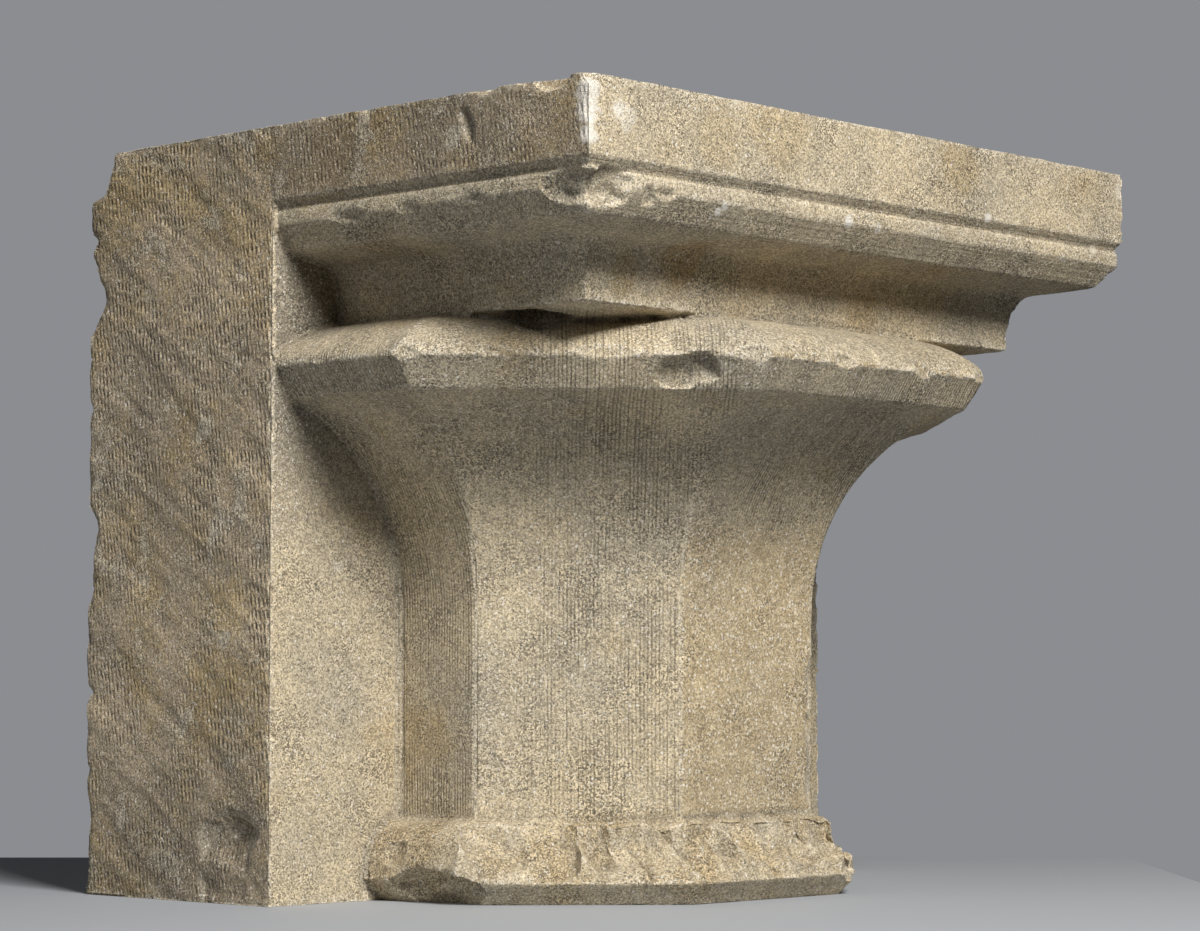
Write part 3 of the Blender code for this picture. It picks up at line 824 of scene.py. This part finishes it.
class CAPITAL_OT_weathered_stone(bpy.types.Operator):
    """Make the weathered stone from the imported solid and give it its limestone"""
    bl_idname = "capital.weathered_stone"
    bl_label = "Weathered stone"

    def execute(self, context):
        relief = context.scene.stone_relief
        material = limestone(context.scene.stone_finish)
        stone = placed("weathered_stone", joined_copy(NODE))
        remesh = stone.modifiers.new("fine cells", 'REMESH')
        remesh.mode = 'VOXEL'
        remesh.voxel_size = relief.cell
        weather = stone.modifiers.new("weather", 'NODES')
        weather.node_group = relief_tree()
        set_inputs(weather, {
            "Arris wear": relief.arris_wear,
            "Chip wear": relief.chip_wear,
            "Unevenness": relief.unevenness,
            "Furrow depth": relief.furrow_depth,
            "Furrow pitch": relief.furrow_pitch,
            "Break roughness": relief.break_roughness,
            "Flake step": relief.flake_step,
            "Seed": float(relief.seed),
            "Lowest corner": tuple(LOW),
            "Highest corner": tuple(HIGH),
            "Limestone": material,
        })
        bake(stone)
        count = sum(len(p.vertices) - 2 for p in stone.data.polygons)
        if not count:
            raise RuntimeError("the remeshed stone is empty")
        thin = stone.modifiers.new("thin out", 'DECIMATE')
        thin.ratio = min(1.0, relief.triangles / count)
        thin.use_collapse_triangulate = True
        bake(stone)
        stone.data.polygons.foreach_set("use_smooth", [True] * len(stone.data.polygons))
        stone.data.set_sharp_from_angle(angle=SHARP_ANGLE)
        even = stone.modifiers.new("flat faces stay flat", 'WEIGHTED_NORMAL')
        even.keep_sharp = True
        bake(stone)
        print("stone triangles", len(stone.data.polygons))
        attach(stone, "root")
        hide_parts(NODE)
        return {'FINISHED'}


def plain_material(name, colour, roughness):
    """A plain matt material for the studio."""
    material = bpy.data.materials.new(name)
    material.use_nodes = True
    shader = material.node_tree.nodes["Principled BSDF"]
    shader.inputs["Base Color"].default_value = colour
    shader.inputs["Roughness"].default_value = roughness
    return material


# The camera as the photograph has it
CAMERA_PLACE = Vector((-1.3356, -1.2397, 0.1152))
CAMERA_YAW = -0.8181
CAMERA_PITCH = 0.0646
SENSOR_WIDTH = 36.0
VIEW = Vector((-math.sin(CAMERA_YAW), math.cos(CAMERA_YAW), 0.0))
ASIDE = Vector((VIEW.y, -VIEW.x, 0.0))

# The board: how far its edges lie from the camera, along the view and to its right
BOARD_NEAR, BOARD_FAR = 1.15, 2.16
BOARD_LEFT, BOARD_RIGHT = -0.66, 0.345
BOARD_THICKNESS = 0.03
BOARD_BEVEL = 0.004
BOARD_ROUGHNESS = 0.7

# The two soft lights
KEY_PLACE, KEY_AIM = (-0.835, -1.935, 1.76), (0.0, -0.05, 0.20)
KEY_SIZE, KEY_COLOUR = 0.8, (1.0, 0.975, 0.94)
FILL_PLACE, FILL_AIM = (-2.2, 0.6, 1.0), (-0.1, 0.0, 0.2)
FILL_SIZE, FILL_COLOUR = 1.6, (0.95, 0.97, 1.0)


def softbox(name, place, aim, size, power, colour):
    """A square area light that faces aim."""
    lamp = bpy.data.lights.new(name, 'AREA')
    lamp.size = size
    lamp.energy = power
    lamp.color = colour
    turn = (Vector(aim) - Vector(place)).to_track_quat('-Z', 'Y').to_matrix().to_4x4()
    placed(name, lamp).matrix_world = Matrix.Translation(place) @ turn


def board_mesh():
    """A flat board with its edges where the photograph has them."""
    ground = Vector((CAMERA_PLACE.x, CAMERA_PLACE.y, 0.0))
    corners = [ground + VIEW * deep + ASIDE * side for deep, side in (
        (BOARD_NEAR, BOARD_LEFT), (BOARD_NEAR, BOARD_RIGHT),
        (BOARD_FAR, BOARD_RIGHT), (BOARD_FAR, BOARD_LEFT))]
    bm = bmesh.new()
    top = bm.faces.new([bm.verts.new(c) for c in corners])
    sweep = bmesh.ops.extrude_face_region(bm, geom=[top])
    moved = [v for v in sweep['geom'] if isinstance(v, bmesh.types.BMVert)]
    bmesh.ops.translate(bm, verts=moved, vec=(0, 0, -BOARD_THICKNESS))
    bmesh.ops.bevel(bm, geom=list(bm.edges), offset=BOARD_BEVEL, segments=3, affect='EDGES')
    bmesh.ops.recalc_face_normals(bm, faces=bm.faces)
    mesh = bpy.data.meshes.new("board")
    bm.to_mesh(mesh)
    bm.free()
    return mesh


def backdrop(colour, ambient):
    """A plain backdrop that lights the stone less than it shows."""
    world = bpy.data.worlds.new("backdrop")
    world.use_nodes = True
    w = Wiring(world.node_tree)
    seen = w.get('ShaderNodeBackground', {"Color": colour})
    soft = w.get('ShaderNodeBackground', {"Color": colour, "Strength": ambient})
    direct = w.get('ShaderNodeLightPath', {}, "Is Camera Ray")
    both = w.get('ShaderNodeMixShader', {0: direct, 1: soft, 2: seen})
    w.add('ShaderNodeOutputWorld', {"Surface": both})
    return world


def photo_camera(focal_length):
    """The camera at the photograph's place and angle."""
    lens = bpy.data.cameras.new("camera")
    lens.sensor_width = SENSOR_WIDTH
    lens.lens = focal_length
    camera = placed("camera", lens)
    ahead = VIEW * math.cos(CAMERA_PITCH) + Vector((0, 0, math.sin(CAMERA_PITCH)))
    turn = Matrix((ASIDE, ASIDE.cross(ahead), -ahead)).transposed().to_4x4()
    camera.matrix_world = Matrix.Translation(CAMERA_PLACE) @ turn
    return camera


class CAPITAL_OT_studio(bpy.types.Operator):
    """Set up the board, backdrop, lights and camera"""
    bl_idname = "capital.studio"
    bl_label = "Studio"

    def execute(self, context):
        studio = context.scene.studio
        board = placed("board", board_mesh())
        board.data.materials.append(
            plain_material("pale board", studio.floor_colour, BOARD_ROUGHNESS))
        context.scene.world = backdrop(studio.backdrop_colour, studio.ambient)
        softbox("key", KEY_PLACE, KEY_AIM, KEY_SIZE, studio.key_power, KEY_COLOUR)
        softbox("fill", FILL_PLACE, FILL_AIM, FILL_SIZE, studio.fill_power, FILL_COLOUR)
        context.scene.camera = photo_camera(studio.focal_length)
        context.scene.view_settings.view_transform = 'Standard'
        return {'FINISHED'}


class CAPITAL_PT_panel(bpy.types.Panel):
    """Lists the steps and their settings"""
    bl_label = "Stone capital"
    bl_space_type = 'VIEW_3D'
    bl_region_type = 'UI'
    bl_category = "Stone capital"

    def draw(self, context):
        layout = self.layout
        for heading, group, operator in PANEL_ROWS:
            box = layout.box()
            box.label(text=heading)
            settings = getattr(context.scene, group)
            for name in settings.__annotations__:
                box.prop(settings, name)
            if operator:
                box.operator(operator)


PANEL_ROWS = [
    ("Finish", "stone_finish", None),
    ("Relief", "stone_relief", CAPITAL_OT_weathered_stone.bl_idname),
    ("Studio", "studio", CAPITAL_OT_studio.bl_idname),
]
GROUPS = {"stone_relief": StoneRelief, "stone_finish": StoneFinish, "studio": StudioSettings}
CLASSES = (*GROUPS.values(), CAPITAL_OT_weathered_stone, CAPITAL_OT_studio, CAPITAL_PT_panel)


def register():
    for cls in CLASSES:
        bpy.utils.register_class(cls)
    for name, group in GROUPS.items():
        setattr(bpy.types.Scene, name, PointerProperty(type=group))


def unregister():
    for name in GROUPS:
        delattr(bpy.types.Scene, name)
    for cls in reversed(CLASSES):
        bpy.utils.unregister_class(cls)


def main():
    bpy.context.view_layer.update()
    register()
    bpy.ops.capital.weathered_stone()
    bpy.ops.capital.studio()


if __name__ == "__main__":
    main()
